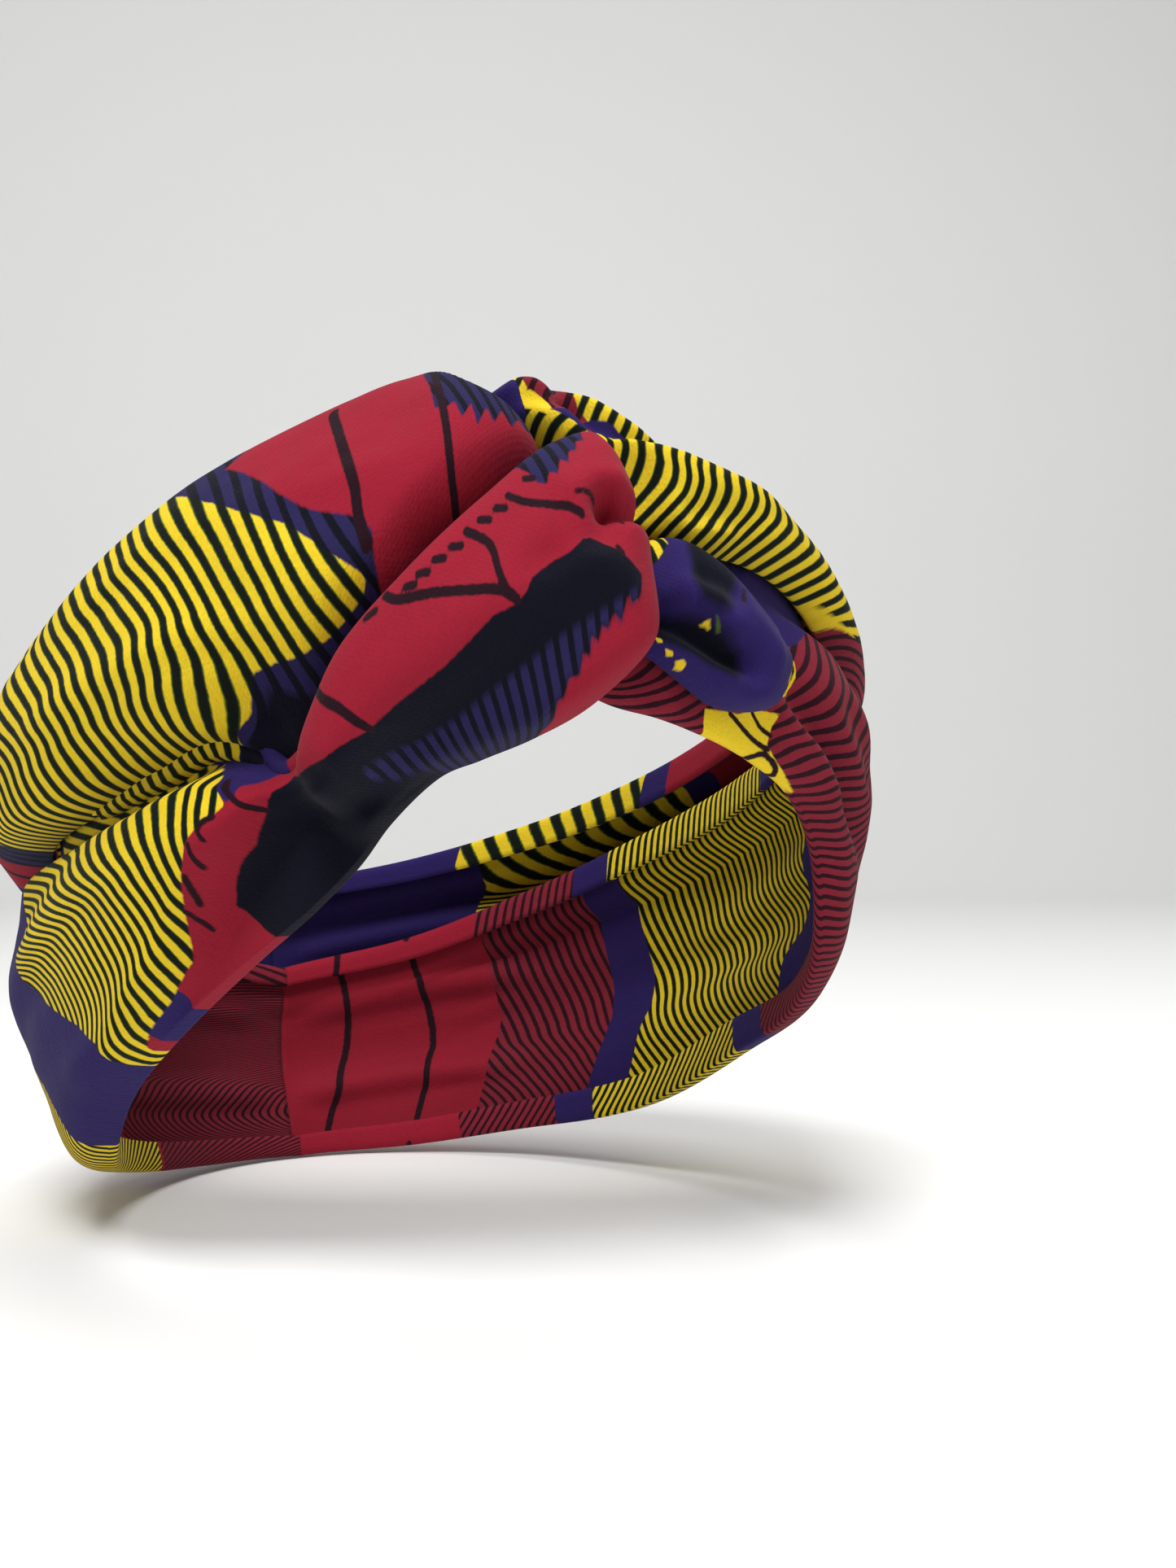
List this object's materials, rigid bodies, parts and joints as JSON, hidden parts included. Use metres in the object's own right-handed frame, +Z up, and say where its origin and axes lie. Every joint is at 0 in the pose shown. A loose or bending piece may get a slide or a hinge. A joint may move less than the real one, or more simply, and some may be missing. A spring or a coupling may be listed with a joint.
{
  "type": "turban headband",
  "caption": "Wide soft turban headband in printed cotton, twisted at the front and kept in the form it has when worn.",
  "frame": {"origin": "on the head's vertical axis, at the height of the band's lower edge above the forehead", "axes": "+Z up, the wearer faces -Y, the wearer's left is +X"},
  "size_m": [0.1983, 0.2262, 0.1781],
  "materials": {
    "yellow_cotton": "matt printed cotton, striped",
    "red_cotton": "matt printed cotton",
    "maroon_cotton": "matt printed cotton, striped",
    "violet_cotton": "matt printed cotton"
  },
  "bodies": {
    "root": {"right_upper_fold": "yellow_cotton", "right_lower_fold": "red_cotton", "left_upper_fold": "yellow_cotton", "left_lower_fold": "maroon_cotton", "knot_loop": "violet_cotton"}
  },
  "joints": []
}
